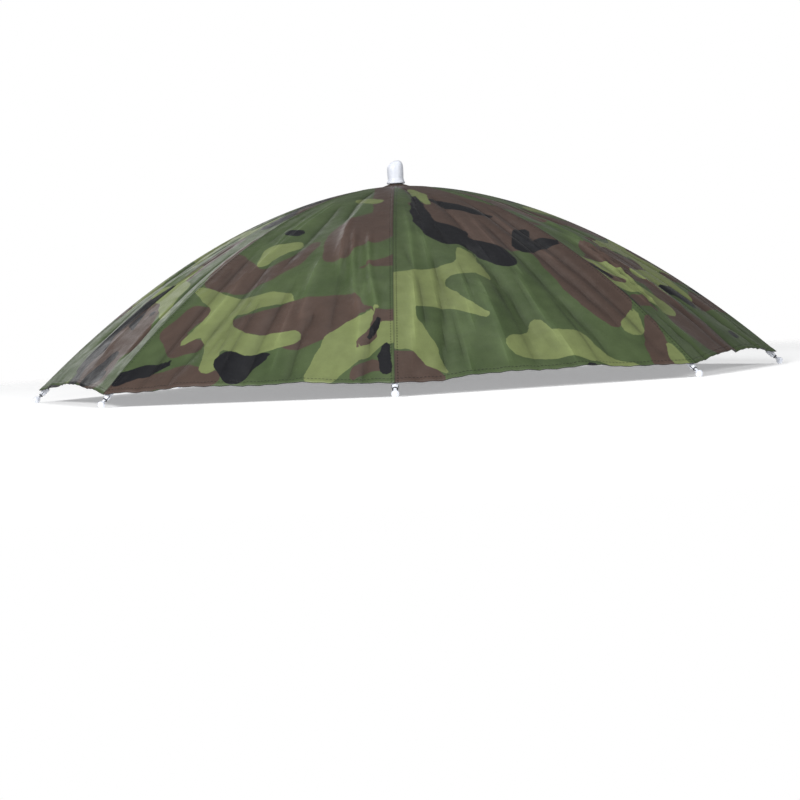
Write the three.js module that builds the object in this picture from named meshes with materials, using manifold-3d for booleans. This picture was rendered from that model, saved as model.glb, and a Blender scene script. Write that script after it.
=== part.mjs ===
// An umbrella hat: a small eight-ribbed canopy worn on the head by an elastic headband.
// Millimetres, +Z up. The hat stands on its eight rib tips, the front rib points along -Y,
// and the origin is on the hat's axis, level with the lowest point of the tips.
import * as THREE from "three";
import { mergeVertices } from "three/addons/utils/BufferGeometryUtils.js";
import Module from "manifold-3d";

const wasm = await Module();
wasm.setup();

// Frame
const ribCount = 8;
const fitGap = 0.3; // between any two pieces that touch on the real hat

// Canopy, measured on the outer face of the cloth along a seam
const cornerRadius = 335;
const domeRise = 167.5;
const bowPower = 1.84; // bends the seams: 2 is a parabola, 1 a cone
const clothWall = 1;
const panelBulge = 8; // how far a panel's middle stands out past its chord, at the hem
const hemScoop = 8; // how far the hem is cut in between two corners
const gatherRise = 2.5; // the cloth is gathered up round the post in a small cone
const gatherReach = 5;

// Ribs: steel channels, open below
const ribWidth = 3.2;
const ribHeight = 2.6;
const ribSteel = 0.7;
const pinWidth = 2; // a rib's end is squeezed to this for its tip
const pinHeight = 1.8;
const pinTaper = 6;
const tipDip = 40; // how far from its end a rib starts to bend away from the cloth

// Rib tips: a sleeve on the rib, a neck with an eye for the sewing thread, and a ball
const sleeveLength = 7;
const sleeveWall = 0.8;
const tipNeck = 1.7;
const neckAt = 1.2; // this and the next two are measured from the rib's end
const eyeAt = 3.6;
const ballAt = 7.1;
const eyeRadius = 0.7;
const ballRadius = 3.1;

// Hub and top cap
const hubWeb = 1.5; // the plastic left between two ribs at their inner ends
const hubGrip = 7; // how much of each rib lies in the hub
const hubHeight = 10;
const hubChamfer = 1;
const postRadius = 4;
const capRadius = 7.3;
const capHeight = 21;
const capRoof = 6; // over the post's end
const capLean = 2.3; // the rounded end peaks this far to the right

// Headband, and the clips and stretchers that hold it
const bandRadius = 82; // inside
const bandThickness = 2;
const bandWidth = 28;
const bandBottom = 48; // above the canopy's corners
const clipWidth = 12;
const clipWall = 1.3;
const clipGrip = 9; // how far a clip reaches down over the band
const clipHead = 8;
const stretcherRadius = 150; // from the axis to where a stretcher meets its rib
const rodRadius = 1.2;
const rodBend = 7; // how long the bend is on each side of its corner
const saddleLength = 8;
const saddleWall = 0.9;

// The cap's outside up to its rounded end, from the lip: shares of capRadius and capHeight.
const capOutside = [
  { radius: 1.08, height: 0 },
  { radius: 1.14, height: 0.04 },
  { radius: 1.03, height: 0.13 },
  { radius: 0.98, height: 0.2 },
  { radius: 1, height: 0.43 },
  { radius: 1, height: 0.64 },
];

const turn = (2 * Math.PI) / ribCount;
const halfTurn = turn / 2;
const frontAzimuth = -Math.PI / 2;
const ribAngles = Array.from({ length: ribCount }, (_, i) => frontAzimuth + i * turn);

// The seam's height above the canopy's corners at a radius, and how fast it falls there.
const seamHeight = (r) => domeRise * (1 - (r / cornerRadius) ** bowPower);
const seamFall = (r) =>
  ((domeRise * bowPower) / cornerRadius) * (r / cornerRadius) ** (bowPower - 1);
const seamAngle = (r) => Math.atan(seamFall(r));

// Two panels meet in a ridge, so a wide thing under it hangs lower by this share of its half width.
const ridgeFall = (r) => Math.tan(halfTurn) * Math.sin(seamAngle(r));

// Every panel has a row of points at these radii along its seams, and the ribs bend there too.
const neckRadius = postRadius + fitGap + clothWall;
const gatherRows = [0, 0.45, 0.9, 1.5, 2.4].map((share) => neckRadius + gatherReach * share);
const domeStart = gatherRows.at(-1);
const domeRows = 11;
const seamRows = Array.from(
  { length: domeRows + 1 },
  (_, i) => domeStart + ((cornerRadius - domeStart) * i) / domeRows,
);

function closedGeometry(points, triangles) {
  const geometry = new THREE.BufferGeometry();
  const numbers = points.flatMap((p) => p.toArray());
  geometry.setAttribute("position", new THREE.Float32BufferAttribute(numbers, 3));
  geometry.setIndex(triangles);
  return geometry;
}

// Triangles over one flat ring of points, which may be hollowed like a channel's section.
function flatTriangles(ring) {
  const normal = new THREE.Vector3();
  ring.forEach((p, i) => normal.add(p.clone().cross(ring[(i + 1) % ring.length])));
  const across = ring[1].clone().sub(ring[0]).normalize();
  const up = normal.normalize().cross(across);
  const flat = ring.map((p) => new THREE.Vector2(p.dot(across), p.dot(up)));
  return THREE.ShapeUtils.triangulateShape(flat, []);
}

// A solid through rings of points. Each ring runs anticlockwise seen from the last ring.
function loft(rings) {
  const size = rings[0].length;
  const lastRing = (rings.length - 1) * size;
  const triangles = [];
  for (let ring = 0; ring < lastRing; ring += size) {
    for (let j = 0; j < size; j++) {
      const a = ring + j;
      const b = ring + ((j + 1) % size);
      triangles.push(a, b, b + size, a, b + size, a + size);
    }
  }
  for (const [a, b, c] of flatTriangles(rings[0])) {
    triangles.push(c, b, a, lastRing + a, lastRing + b, lastRing + c);
  }
  return closedGeometry(rings.flat(), triangles);
}

// A thin wall between an outer and an inner face, each a grid of rows from top to bottom.
function wall(outer, inner) {
  const rows = outer.length;
  const columns = outer[0].length;
  const out = (i, j) => i * columns + j;
  const inn = (i, j) => (rows + i) * columns + j;
  const triangles = [];
  const quad = (a, b, c, d) => triangles.push(a, b, c, a, c, d);
  const right = columns - 1;
  const bottom = rows - 1;
  for (let i = 0; i < bottom; i++) {
    for (let j = 0; j < right; j++) {
      quad(out(i, j), out(i + 1, j), out(i + 1, j + 1), out(i, j + 1));
      quad(inn(i, j), inn(i, j + 1), inn(i + 1, j + 1), inn(i + 1, j));
    }
    quad(out(i, 0), inn(i, 0), inn(i + 1, 0), out(i + 1, 0));
    quad(out(i, right), out(i + 1, right), inn(i + 1, right), inn(i, right));
  }
  for (let j = 0; j < right; j++) {
    quad(out(0, j), out(0, j + 1), inn(0, j + 1), inn(0, j));
    quad(out(bottom, j), inn(bottom, j), inn(bottom, j + 1), out(bottom, j + 1));
  }
  return closedGeometry([...outer.flat(), ...inner.flat()], triangles);
}

function toSolid(geometry) {
  const bare = geometry.clone();
  bare.deleteAttribute("normal");
  bare.deleteAttribute("uv");
  const merged = mergeVertices(bare);
  return new wasm.Manifold(
    new wasm.Mesh({
      numProp: 3,
      vertProperties: merged.getAttribute("position").array,
      triVerts: new Uint32Array(merged.index.array),
    }),
  );
}

function toGeometry(solid) {
  const mesh = solid.getMesh();
  const geometry = new THREE.BufferGeometry();
  geometry.setAttribute("position", new THREE.BufferAttribute(mesh.vertProperties, 3));
  geometry.setIndex(new THREE.BufferAttribute(mesh.triVerts, 1));
  return geometry;
}

// A block given by its two ends along X and along Z, and centred across.
function block(x0, x1, width, z0, z1) {
  const geometry = new THREE.BoxGeometry(x1 - x0, width, z1 - z0);
  return geometry.translate((x0 + x1) / 2, 0, (z0 + z1) / 2);
}

// A solid of revolution about Z from a profile of [radius, height] pairs.
function turned(profile, sides) {
  const points = profile.map(([r, z]) => new THREE.Vector2(r, z));
  return new THREE.LatheGeometry(points, sides).rotateX(Math.PI / 2);
}

// A straight bar of round section along Z between two heights.
const bar = (radius, z0, z1, sides) => turned([[0, z0], [radius, z0], [radius, z1], [0, z1]], sides);

// Canopy: eight cloth gores, cut alike and sewn along the ribs
function panelGeometry() {
  const columns = 6;
  const outer = [];
  const inner = [];
  const addRow = (radiusAt) => {
    const outerRow = [];
    const innerRow = [];
    for (let j = 0; j <= columns; j++) {
      const across = (2 * j) / columns - 1;
      const arch = 1 - across ** 2;
      const r = radiusAt(arch);
      const pastNeck = (r - neckRadius) / gatherReach;
      const gather = gatherRise * Math.exp(-(pastNeck ** 2));
      const fall = seamFall(r) + (2 * gather * pastNeck) / gatherReach;
      const slope = Math.atan(fall);
      const chordMiddle = r * Math.cos(halfTurn) + (fitGap / 2) * Math.sin(halfTurn);
      const halfChord = r * Math.sin(halfTurn) - (fitGap / 2) * Math.cos(halfTurn);
      const bulge = panelBulge * (r / cornerRadius) * arch;
      const point = new THREE.Vector3(chordMiddle + bulge, across * halfChord, seamHeight(r) + gather);
      const bearing = across * halfTurn;
      const towardsInside = new THREE.Vector3(
        -Math.cos(bearing) * Math.sin(slope),
        -Math.sin(bearing) * Math.sin(slope),
        -Math.cos(slope),
      );
      outerRow.push(point);
      innerRow.push(point.clone().addScaledVector(towardsInside, clothWall));
    }
    outer.push(outerRow);
    inner.push(innerRow);
  };
  gatherRows.slice(0, -1).forEach((r) => addRow(() => r));
  seamRows.forEach((r, i) => addRow((arch) => r - hemScoop * arch * (i / domeRows)));
  return wall(outer, inner);
}

// Ribs: a channel bent to the seam and hung just under it
const tipBore = Math.hypot(pinWidth, pinHeight) / 2 + fitGap;
const sleeveRadius = tipBore + sleeveWall;
const ribTopDepth = (r) => clothWall + fitGap + (ribWidth / 2) * ridgeFall(r);
const sleeveDepth = clothWall + (sleeveRadius + fitGap) * Math.hypot(1, ridgeFall(cornerRadius));
const endSink = Math.max(0, sleeveDepth - ribTopDepth(cornerRadius) - ribHeight / 2);
const ribStart = (ribWidth / 2 + fitGap + hubWeb / 2) / Math.sin(halfTurn);
const endRun = Math.cos(seamAngle(cornerRadius));
const pinStart = cornerRadius - (sleeveLength + fitGap) * endRun;
const taperStart = pinStart - pinTaper * endRun;

// A point beside a rib's centre line at a radius: across it, and up towards the cloth.
function besideRib(r, across, up) {
  const sunk = THREE.MathUtils.smoothstep(r, cornerRadius - tipDip, pinStart);
  const depth = ribTopDepth(r) + ribHeight / 2 + endSink * sunk - up;
  const angle = seamAngle(r);
  return new THREE.Vector3(
    r - depth * Math.sin(angle),
    across,
    seamHeight(r) - depth * Math.cos(angle),
  );
}

function ribGeometry() {
  const bends = seamRows.filter((r) => r < taperStart);
  const full = [ribStart, ...bends, taperStart].map((r) => ({ r, width: ribWidth, height: ribHeight }));
  const pin = [pinStart, cornerRadius].map((r) => ({ r, width: pinWidth, height: pinHeight }));
  const rings = [...full, ...pin].map(({ r, width, height }) => {
    const steel = Math.min(ribSteel, width / 3, height / 2);
    const side = width / 2;
    const slot = side - steel;
    const top = height / 2;
    const section = [
      [side, -top], [side, top], [-side, top], [-side, -top],
      [-slot, -top], [-slot, top - steel], [slot, top - steel], [slot, -top],
    ];
    return section.map(([across, up]) => besideRib(r, across, up));
  });
  return loft(rings);
}

// Rib tips, turned about Z with the rib's end at the origin and the ball towards +Z
function tipGeometry() {
  const profile = [
    [0, fitGap],
    [tipBore, fitGap],
    [tipBore, -sleeveLength],
    [sleeveRadius, -sleeveLength],
    [sleeveRadius, 0],
    [tipNeck, neckAt],
  ];
  const ballSteps = 5;
  for (let i = 0; i <= ballSteps; i++) {
    const angle = THREE.MathUtils.lerp(-Math.PI / 10, Math.PI / 2, i / ballSteps);
    const radius = i < ballSteps ? ballRadius * Math.cos(angle) : 0;
    profile.push([radius, ballAt + ballRadius * Math.sin(angle)]);
  }
  const eye = bar(eyeRadius, -ballRadius, ballRadius, 8).rotateX(Math.PI / 2).translate(0, 0, eyeAt);
  return toGeometry(toSolid(turned(profile, 10)).subtract(toSolid(eye)));
}

// Hub: a disc with a slot for each rib's inner end, and a post up through the cloth
const hubRadius = ribStart + hubGrip;
const hubTop = seamHeight(hubRadius / Math.cos(halfTurn)) - clothWall - fitGap;
const hubBottom = hubTop - hubHeight;
const capBottom = seamHeight(neckRadius) + gatherRise + fitGap;
const postTop = capBottom + capHeight - capRoof - fitGap;

function hubGeometry() {
  const body = turned(
    [
      [0, hubBottom], [hubRadius - hubChamfer, hubBottom], [hubRadius, hubBottom + hubChamfer],
      [hubRadius, hubTop], [postRadius, hubTop], [postRadius, postTop], [0, postTop],
    ],
    32,
  );
  const slotBottom = besideRib(hubRadius, 0, -ribHeight / 2).z - fitGap;
  const slot = block(ribStart - fitGap, 2 * hubRadius, ribWidth + 2 * fitGap, slotBottom, 2 * hubTop);
  const slots = ribAngles.map((angle) => toSolid(slot.clone().rotateZ(angle)));
  return toGeometry(toSolid(body).subtract(wasm.Manifold.union(slots)));
}

// Top cap: a plastic cap with a leaning rounded end, pressed over the post
function capGeometry() {
  const sides = 28;
  const shoulder = capOutside.at(-1).height * capHeight;
  const profile = [
    [0, 0],
    ...capOutside.map(({ radius, height }) => [radius * capRadius, height * capHeight]),
  ];
  const endSteps = 6;
  for (let i = 1; i <= endSteps; i++) {
    const angle = (Math.PI / 2) * (i / endSteps);
    const radius = i < endSteps ? capRadius * Math.cos(angle) : 0;
    profile.push([radius, shoulder + (capHeight - shoulder) * Math.sin(angle)]);
  }
  const outside = turned(profile, sides);
  const position = outside.getAttribute("position");
  for (let i = 0; i < position.count; i++) {
    const share = Math.max(0, (position.getZ(i) - shoulder) / (capHeight - shoulder));
    position.setX(i, position.getX(i) + capLean * share ** 2);
  }
  const socket = bar(postRadius + fitGap, -capHeight, capHeight - capRoof, sides);
  return toGeometry(toSolid(outside).subtract(toSolid(socket))).translate(0, 0, capBottom);
}

// Headband: one elastic ring
const bandOutside = bandRadius + bandThickness;
const bandMiddle = (bandRadius + bandOutside) / 2;
const bandTop = bandBottom + bandWidth;

function bandGeometry() {
  const section = [
    [bandRadius, bandBottom], [bandOutside, bandBottom], [bandOutside, bandTop], [bandRadius, bandTop],
  ];
  return turned([...section, section[0]], 64);
}

// Clips: each grips the band's upper edge and has a bore for its stretcher's bent end
const clipTop = bandTop + fitGap + clipHead;
const boreBottom = clipTop - clipHead + clipWall;

function clipGeometry() {
  const bandSag = bandRadius - Math.sqrt(bandRadius ** 2 - (clipWidth / 2) ** 2);
  const slotInside = bandRadius - bandSag - fitGap;
  const slotOutside = bandOutside + fitGap;
  const clipBottom = bandTop - clipGrip;
  const body = block(slotInside - clipWall, slotOutside + clipWall, clipWidth, clipBottom, clipTop);
  const slot = block(slotInside, slotOutside, 2 * clipWidth, 0, bandTop + fitGap);
  const bore = bar(rodRadius + fitGap, boreBottom, 2 * clipTop, 12).translate(bandMiddle, 0, 0);
  return toGeometry(toSolid(body).subtract(toSolid(slot)).subtract(toSolid(bore)));
}

// Stretchers: a saddle that holds the rib, and a rod bent down into its clip
function saddleSeat() {
  const outerRow = seamRows.find((r) => r > stretcherRadius);
  const innerRow = seamRows[seamRows.indexOf(outerRow) - 1];
  const low = besideRib(outerRow, 0, 0);
  const high = besideRib(innerRow, 0, 0);
  const share = (stretcherRadius - high.x) / (low.x - high.x);
  const tilt = Math.atan2(high.z - low.z, low.x - high.x);
  return { point: high.lerp(low, share), tilt };
}

function rodGeometry(start) {
  const sides = 8;
  const corner = new THREE.Vector3(bandMiddle, 0, clipTop + rodBend);
  const end = new THREE.Vector3(bandMiddle, 0, boreBottom + fitGap);
  const bendStart = corner.clone().add(start.clone().sub(corner).setLength(rodBend));
  const bendEnd = new THREE.Vector3(bandMiddle, 0, clipTop);
  const bend = new THREE.QuadraticBezierCurve3(bendStart, corner, bendEnd).getPoints(4);
  const route = [start, ...bend, end];
  const sideways = new THREE.Vector3(0, 1, 0);
  const rings = route.map((point, i) => {
    const before = route[Math.max(0, i - 1)];
    const after = route[Math.min(route.length - 1, i + 1)];
    const up = after.clone().sub(before).normalize().cross(sideways);
    return Array.from({ length: sides }, (_, j) => {
      const angle = (2 * Math.PI * j) / sides;
      return point
        .clone()
        .addScaledVector(up, rodRadius * Math.cos(angle))
        .addScaledVector(sideways, -rodRadius * Math.sin(angle));
    });
  });
  return loft(rings);
}

function stretcherGeometry() {
  const seat = saddleSeat();
  const slotWidth = ribWidth + 2 * fitGap;
  const outsideWidth = slotWidth + 2 * saddleWall;
  const earTop = ribHeight / 2 - (outsideWidth / 2) * ridgeFall(stretcherRadius);
  const slotBottom = -ribHeight / 2 - fitGap;
  const rodDepth = slotBottom - rodRadius;
  const half = saddleLength / 2;
  const body = toSolid(block(-half, half, outsideWidth, rodDepth - rodRadius, earTop));
  const slot = toSolid(block(-saddleLength, saddleLength, slotWidth, slotBottom, ribHeight));
  const saddle = toGeometry(body.subtract(slot)).rotateY(seat.tilt);
  saddle.translate(...seat.point.toArray());
  const start = new THREE.Vector3(rodDepth * Math.sin(seat.tilt), 0, rodDepth * Math.cos(seat.tilt));
  return toGeometry(toSolid(saddle).add(toSolid(rodGeometry(start.add(seat.point)))));
}

// Materials
const plain = (color, roughness, metalness = 0) =>
  new THREE.MeshStandardMaterial({ color, roughness, metalness });
const printedCloth = plain(0x4f6440, 0.6);
const paintedSteel = plain(0x16171a, 0.45, 0.6);
const whitePlastic = plain(0xeceef2, 0.35);
const blackPlastic = plain(0x1b1b1d, 0.5);
const elasticWebbing = plain(0x141416, 0.9);

function piece(name, geometry, material) {
  const mesh = new THREE.Mesh(geometry, material);
  mesh.name = name;
  return mesh;
}

// The hat
const hat = new THREE.Group();
hat.add(
  piece("headband", bandGeometry(), elasticWebbing),
  piece("hub", hubGeometry(), whitePlastic),
  piece("top_cap", capGeometry(), whitePlastic),
);

const panel = panelGeometry();
const rib = ribGeometry();
const tip = tipGeometry();
const stretcher = stretcherGeometry();
const clip = clipGeometry();
const pinFoot = besideRib(pinStart, 0, 0);
const ribEnd = besideRib(cornerRadius, 0, 0);

ribAngles.forEach((angle, i) => {
  const number = i + 1;
  const gore = piece(`canopy_panel_${number}`, panel, printedCloth);
  gore.rotation.z = halfTurn;
  const ribTip = piece(`rib_tip_${number}`, tip, whitePlastic);
  ribTip.position.copy(ribEnd);
  ribTip.lookAt(ribEnd.clone().multiplyScalar(2).sub(pinFoot));
  const spoke = new THREE.Group();
  spoke.rotation.z = angle;
  spoke.add(
    gore,
    ribTip,
    piece(`rib_${number}`, rib, paintedSteel),
    piece(`stretcher_${number}`, stretcher, paintedSteel),
    piece(`band_clip_${number}`, clip, blackPlastic),
  );
  hat.add(spoke);
});

// Stand the hat on its tips
hat.position.z = -new THREE.Box3().setFromObject(hat, true).min.z;

export default hat;
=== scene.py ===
# Umbrella hat: a camouflage canopy on eight ribs, with an elastic headband under it.
# Blender's lengths are metres; values in millimetres are turned by mm.
import math

import bmesh
import bpy
import numpy as np
from mathutils import Matrix, Vector


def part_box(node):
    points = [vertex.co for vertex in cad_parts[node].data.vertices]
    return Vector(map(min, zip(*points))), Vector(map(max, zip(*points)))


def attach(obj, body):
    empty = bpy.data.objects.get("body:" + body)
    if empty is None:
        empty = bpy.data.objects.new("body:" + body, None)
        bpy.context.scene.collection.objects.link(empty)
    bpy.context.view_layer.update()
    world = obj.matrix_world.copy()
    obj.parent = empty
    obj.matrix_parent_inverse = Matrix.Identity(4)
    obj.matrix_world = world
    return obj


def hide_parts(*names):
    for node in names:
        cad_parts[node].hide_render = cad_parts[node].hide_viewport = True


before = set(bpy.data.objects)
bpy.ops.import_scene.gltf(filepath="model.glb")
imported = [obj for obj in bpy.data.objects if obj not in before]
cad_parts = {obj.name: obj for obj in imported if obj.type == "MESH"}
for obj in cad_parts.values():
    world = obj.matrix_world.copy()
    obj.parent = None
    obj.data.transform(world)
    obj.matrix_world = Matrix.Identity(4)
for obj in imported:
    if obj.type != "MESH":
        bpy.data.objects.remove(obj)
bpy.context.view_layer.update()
mm = .001
goreCount = 8
goreAngle = 2 * math.pi / goreCount
frontAzimuth = -math.pi / 2
mergeDistance = 1e-6   # m
smoothly = {"interpolation_type": "SMOOTHSTEP"}
print("frame loaded:", len(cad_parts), "nodes")


def linear(code):
    # sRGB hex to the linear values that a shader takes
    parts = [int(code[i:i + 2], 16) / 255 for i in (1, 3, 5)]
    return (*[p / 12.92 if p <= .04045 else ((p + .055) / 1.055) ** 2.4 for p in parts], 1)


def fillSocket(tree, socket, value):
    # a socket or a node's first output is linked, and any other value is set on the socket itself
    if isinstance(value, bpy.types.Node):
        value = value.outputs[0]
    if isinstance(value, bpy.types.NodeSocket):
        tree.links.new(value, socket)
    else:
        socket.default_value = value


def addNode(tree, kind, inputs=(), **settings):
    # inputs are values for the first sockets in order, or a dictionary of socket to value
    made = tree.nodes.new("ShaderNode" + kind)
    for name, value in settings.items():
        setattr(made, name, value)
    for socket, value in inputs.items() if isinstance(inputs, dict) else enumerate(inputs):
        fillSocket(tree, made.inputs[socket], value)
    return made


def fillShader(tree, shader, **values):
    for name, value in values.items():
        fillSocket(tree, shader.inputs[name.replace("_", " ")], value)


def startMaterial(name, **constants):
    material = bpy.data.materials.new(name)
    material.use_nodes = True
    tree = material.node_tree
    shader = tree.nodes["Principled BSDF"]
    fillShader(tree, shader, **constants)
    return material, tree, shader


def makeObject(name, bm, materials, sharpAngle=None):
    mesh = bpy.data.meshes.new(name)
    bm.to_mesh(mesh)
    bm.free()
    for material in materials:
        mesh.materials.append(material)
    mesh.polygons.foreach_set("use_smooth", [True] * len(mesh.polygons))
    if sharpAngle:
        mesh.set_sharp_from_angle(angle=math.radians(sharpAngle))
    made = bpy.data.objects.new(name, mesh)
    bpy.context.scene.collection.objects.link(made)
    return made


def addModifier(piece, kind, **settings):
    modifier = piece.modifiers.new(kind.title(), kind)
    for name, value in settings.items():
        setattr(modifier, name, value)


def eightOf(name):
    return [f"{name}_{n}" for n in range(1, goreCount + 1)]


def standFor(piece, nodes):
    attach(piece, "root")
    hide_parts(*nodes)


# camera and studio
view = {
    "distance": 1.957, "height": .06,       # m: level with the hat, just above the floor that it stands on
    "yaw": 1.51, "roll": -3.07, "pan": -.08, "tilt": -2.2,   # degrees
    "lens": 97, "sensor": 36, "clipStart": .01,
}


def placeCamera():
    data = bpy.data.cameras.new("camera")
    data.lens, data.sensor_width, data.clip_start = view["lens"], view["sensor"], view["clipStart"]
    camera = bpy.data.objects.new("camera", data)
    bpy.context.scene.collection.objects.link(camera)
    yaw = math.radians(view["yaw"])
    place = Vector((math.sin(yaw), -math.cos(yaw), 0)) * view["distance"] + Vector((0, 0, view["height"]))
    level = Matrix.Rotation(yaw, 4, "Z") @ Matrix.Rotation(math.pi / 2, 4, "X")
    pan = Matrix.Rotation(math.radians(-view["pan"]), 4, "Y")
    tilt = Matrix.Rotation(math.radians(view["tilt"]), 4, "X")
    roll = Matrix.Rotation(math.radians(view["roll"]), 4, "Z")
    camera.matrix_world = Matrix.Translation(place) @ level @ roll @ (pan @ tilt)
    bpy.context.scene.camera = camera


placeCamera()

studio = {
    "paper": "#fafafa", "fadeStart": .6, "fadeEnd": 1.3, "floorSize": 1.5,   # m
    "paperGlow": .3,   # the paper is lit from below too, as on a light table
    "room": "#f6f8fc", "roomLight": .15,
    # name: (place, aim, size, watts)
    "lamps": {
        "leftSoftbox": ((-1.35, -2.0, 1.2), (0, 0, .1), .55, 54),
        "rightSoftbox": ((1.3, -2.1, .95), (0, 0, .1), .7, 28),
        "overhead": ((0, 0, 2.6), (0, 0, 0), 1.8, 13),
        "backSoftbox": ((-1.2, 2.3, 1.2), (0, 0, .1), 1.2, 9),
    },
}


def makeRoom():
    # the room's light is softer than the white that the camera sees behind the hat
    scene = bpy.context.scene
    scene.view_settings.view_transform = "Standard"
    scene.view_settings.look = "None"
    world = bpy.data.worlds.new("studio")
    world.use_nodes = True
    scene.world = world
    tree = world.node_tree
    room = tree.nodes["Background"]
    fillShader(tree, room, Color=linear(studio["room"]), Strength=studio["roomLight"])
    white = addNode(tree, "Background", {"Color": (1, 1, 1, 1), "Strength": 1})
    seen = addNode(tree, "LightPath").outputs["Is Camera Ray"]
    both = addNode(tree, "MixShader", (seen, room, white))
    fillShader(tree, tree.nodes["World Output"], Surface=both)


def placeLamps():
    for name, (place, aim, size, watts) in studio["lamps"].items():
        data = bpy.data.lights.new(name, "AREA")
        data.energy, data.size, data.shape = watts, size, "DISK"
        lamp = bpy.data.objects.new(name, data)
        bpy.context.scene.collection.objects.link(lamp)
        lamp.location = place
        lamp.rotation_euler = (Vector(aim) - Vector(place)).to_track_quat("-Z", "Y").to_euler()


def layPaper():
    # a sheet of white studio paper that thins out with distance, so its far edge never shows
    paper, tree, shader = startMaterial(
        "studioPaper", Base_Color=linear(studio["paper"]), Roughness=.9, Specular_IOR_Level=.1,
        Emission_Color=linear(studio["paper"]), Emission_Strength=studio["paperGlow"])
    place = addNode(tree, "TexCoord").outputs["Object"]
    reach = addNode(tree, "VectorMath", (place,), operation="LENGTH").outputs["Value"]
    fade = addNode(tree, "MapRange", (reach, studio["fadeStart"], studio["fadeEnd"], 1, 0), **smoothly)
    grain = addNode(tree, "TexNoise", {"Vector": place, "Scale": 900, "Detail": 2})   # paper fibre, about 1 mm
    bump = addNode(tree, "Bump", {"Height": grain, "Strength": .04, "Distance": .0002})
    fillShader(tree, shader, Alpha=fade, Normal=bump)
    bm = bmesh.new()
    bmesh.ops.create_circle(bm, cap_ends=True, radius=studio["floorSize"], segments=96)
    floor = makeObject("floor", bm, [paper])


makeRoom()
placeLamps()
layPaper()
print("camera, lamps and floor made")

# the canopy's cut
canopy = {   # mm
    "cornerRadius": 335, "rise": 167.5, "bow": 1.84, "bulge": 8, "panelWall": 1,   # as in the frame
    "neck": 5.3, "gatherRise": 2.5, "gatherReach": 5, "domeStart": 17.3,
    # how far each hem is cut in, starting with the gore to the right of the front rib
    "scoops": (4, 8, 11, 11, 6, 11, 8, 4),
    "flatWiden": 1.03,                       # a gore's bulge makes it this much wider than its chord
    "thickness": .6,                         # real cloth is about 0.2 mm thick
    "columns": 64, "crowding": 1.25,         # mesh columns over a gore, crowded towards its seams
    "crownRings": 14, "domeRings": 70, "hemRings": (325.5, 328.5, 330.2, 332.6, 335),
    "flat": (1.152, .385), "flatArea": .39,  # m and m2: the eight gores laid head to tail in one strip
}


def seamHeight(r):
    return canopy["rise"] * (1 - (r / canopy["cornerRadius"]) ** canopy["bow"])


def seamFall(r):
    share = (r / canopy["cornerRadius"]) ** (canopy["bow"] - 1)
    return canopy["rise"] * canopy["bow"] / canopy["cornerRadius"] * share


# the canopy's corners are this high above the floor, in mm
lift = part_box("canopy_panel_1")[1].z / mm - seamHeight(canopy["neck"]) - canopy["gatherRise"]
radiusSteps = np.linspace(0, 340, 341)
stepMiddles = (radiusSteps[1:] + radiusSteps[:-1]) / 2
lengthSteps = np.concatenate([[0], np.cumsum(np.hypot(1, seamFall(stepMiddles)))])
halfSine, halfCosine = math.sin(goreAngle / 2), math.cos(goreAngle / 2)


def alongGore(r):
    return np.interp(r, radiusSteps, lengthSteps)


def acrossGore(across, r):
    return across * r * halfSine * canopy["flatWiden"]


# Arrays over the whole canopy have the index [gore, ring, column], with a gore's seams at its first and last
# column.
ringRadii = np.concatenate([
    np.linspace(canopy["neck"], canopy["domeStart"], canopy["crownRings"], endpoint=False),
    np.linspace(canopy["domeStart"], canopy["hemRings"][0], canopy["domeRings"], endpoint=False),
    canopy["hemRings"]])
ringCount = len(ringRadii)
columnStep = np.linspace(-1, 1, canopy["columns"] + 1)
acrossLine = np.sign(columnStep) * (1 - (1 - abs(columnStep)) ** canopy["crowding"])
across = np.broadcast_to(acrossLine, (goreCount, ringCount, canopy["columns"] + 1)).copy()
arch = 1 - across ** 2
domeShare = (ringRadii - canopy["domeStart"]) / (canopy["cornerRadius"] - canopy["domeStart"])
domeShare = np.clip(domeShare, 0, 1)
scoops = np.array(canopy["scoops"])[:, None, None]
radius = ringRadii[None, :, None] - scoops * arch * domeShare[None, :, None]
flatX = acrossGore(across, radius)
flatY = alongGore(radius) + 0 * across
hemY = alongGore(canopy["cornerRadius"] - scoops * arch)
seamGap = abs(acrossGore(1, radius)) - abs(flatX)
hemGap = hemY - flatY


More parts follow.
